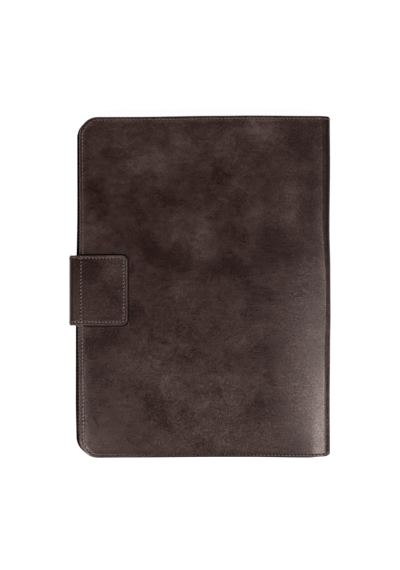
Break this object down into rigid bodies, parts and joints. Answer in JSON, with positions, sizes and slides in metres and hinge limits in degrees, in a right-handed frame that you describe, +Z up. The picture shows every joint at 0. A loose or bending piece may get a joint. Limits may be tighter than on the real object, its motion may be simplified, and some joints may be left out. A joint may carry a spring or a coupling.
{
  "type": "laptop folio bag",
  "caption": "Slim book-style leather folio for a laptop, with a rounded spine fold, rounded fore-edge corners and a wide sewn strap that closes round the fore-edge on a press stud.",
  "frame": {"origin": "bottom centre of the whole folio's box, on the surface that its front cover lies on", "axes": "+X from the fore-edge to the spine, +Y along the spine to the top edge, +Z up out of the back cover"},
  "size_m": [0.2525, 0.33, 0.0295],
  "materials": {
    "cover_leather": "waxed dark brown leather, clouded, semi-gloss",
    "strap_leather": "waxed dark brown leather, semi-gloss",
    "snap_metal": "dark antique plating, satin"
  },
  "bodies": {
    "root": {"cover": "cover_leather", "closure_strap": "strap_leather", "snap_fastener": "snap_metal"}
  },
  "joints": []
}
